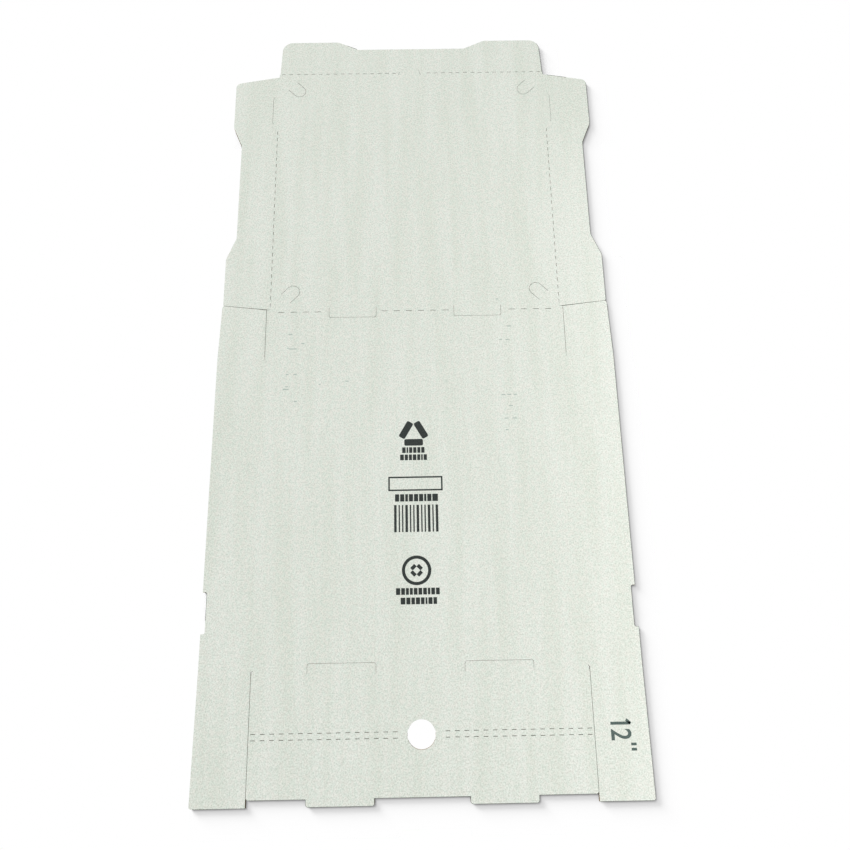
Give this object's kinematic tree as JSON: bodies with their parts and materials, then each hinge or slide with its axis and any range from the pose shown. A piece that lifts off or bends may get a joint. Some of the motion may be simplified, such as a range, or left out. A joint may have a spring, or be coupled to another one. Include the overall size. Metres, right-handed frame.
{
  "type": "pizza box",
  "caption": "Flat, unfolded die-cut box blank of white-faced corrugated board, with hinged lid, side walls, roll-over front wall, corner flaps and tuck flaps.",
  "frame": {"origin": "middle of the base panel on its inner face, which is the face that the flat blank lies on", "axes": "+X to the box's right, +Y from the roll-over front towards the lid, +Z out of the printed outer face; Y is the longest extent and Z the board's thickness"},
  "size_m": [0.4076, 0.8142, 0.0028],
  "materials": {
    "corrugated_board": "white-faced corrugated board, matt, with brown kraft fluting and inner liner"
  },
  "bodies": {
    "base_panel": {"base_panel": "corrugated_board"},
    "back_wall": {"back_wall": "corrugated_board"},
    "lid": {"lid": "corrugated_board"},
    "lid_front_flap": {"lid_front_flap": "corrugated_board"},
    "left_lid_flap": {"left_lid_flap": "corrugated_board"},
    "right_lid_flap": {"right_lid_flap": "corrugated_board"},
    "left_wall": {"left_wall": "corrugated_board"},
    "right_wall": {"right_wall": "corrugated_board"},
    "left_front_corner_flap": {"left_front_corner_flap": "corrugated_board"},
    "right_front_corner_flap": {"right_front_corner_flap": "corrugated_board"},
    "left_back_corner_flap": {"left_back_corner_flap": "corrugated_board"},
    "right_back_corner_flap": {"right_back_corner_flap": "corrugated_board"},
    "front_wall": {"front_wall": "corrugated_board"},
    "front_inner_wall": {"front_inner_wall": "corrugated_board"},
    "front_roll_strip": {"left_front_roll_strip": "corrugated_board", "right_front_roll_strip": "corrugated_board"}
  },
  "joints": [
    {"name": "back_wall_fold", "type": "hinge", "parent": "base_panel", "child": "back_wall", "pos_m": [0, 0.1555, 0], "axis": [-1, 0, 0], "range_deg": [0, 90]},
    {"name": "lid_hinge", "type": "hinge", "parent": "back_wall", "child": "lid", "pos_m": [0, 0.205, 0], "axis": [-1, 0, 0], "range_deg": [0, 90]},
    {"name": "lid_front_flap_fold", "type": "hinge", "parent": "lid", "child": "lid_front_flap", "pos_m": [0, 0.504, 0], "axis": [-1, 0, 0], "range_deg": [0, 90]},
    {"name": "left_lid_flap_fold", "type": "hinge", "parent": "lid", "child": "left_lid_flap", "pos_m": [-0.1513, 0.35, 0], "axis": [0, -1, 0], "range_deg": [0, 90]},
    {"name": "right_lid_flap_fold", "type": "hinge", "parent": "lid", "child": "right_lid_flap", "pos_m": [0.1513, 0.35, 0], "axis": [0, 1, 0], "range_deg": [0, 90]},
    {"name": "left_wall_fold", "type": "hinge", "parent": "base_panel", "child": "left_wall", "pos_m": [-0.1546, 0, 0], "axis": [0, -1, 0], "range_deg": [0, 90]},
    {"name": "right_wall_fold", "type": "hinge", "parent": "base_panel", "child": "right_wall", "pos_m": [0.1546, 0, 0], "axis": [0, 1, 0], "range_deg": [0, 90]},
    {"name": "left_front_corner_fold", "type": "hinge", "parent": "left_wall", "child": "left_front_corner_flap", "pos_m": [-0.178, -0.1524, 0], "axis": [1, 0, 0], "range_deg": [0, 90]},
    {"name": "right_front_corner_fold", "type": "hinge", "parent": "right_wall", "child": "right_front_corner_flap", "pos_m": [0.178, -0.1524, 0], "axis": [1, 0, 0], "range_deg": [0, 90]},
    {"name": "left_back_corner_fold", "type": "hinge", "parent": "left_wall", "child": "left_back_corner_flap", "pos_m": [-0.178, 0.1524, 0], "axis": [-1, 0, 0], "range_deg": [0, 90]},
    {"name": "right_back_corner_fold", "type": "hinge", "parent": "right_wall", "child": "right_back_corner_flap", "pos_m": [0.178, 0.1524, 0], "axis": [-1, 0, 0], "range_deg": [0, 90]},
    {"name": "front_wall_fold", "type": "hinge", "parent": "base_panel", "child": "front_wall", "pos_m": [0, -0.1555, 0], "axis": [1, 0, 0], "range_deg": [0, 90]},
    {"name": "front_roll_fold", "type": "hinge", "parent": "front_wall", "child": "front_roll_strip", "pos_m": [0, -0.2054, 0], "axis": [1, 0, 0], "range_deg": [0, 90]},
    {"name": "inner_wall_fold", "type": "hinge", "parent": "front_roll_strip", "child": "front_inner_wall", "pos_m": [0, -0.2112, 0], "axis": [1, 0, 0], "range_deg": [0, 90]}
  ]
}
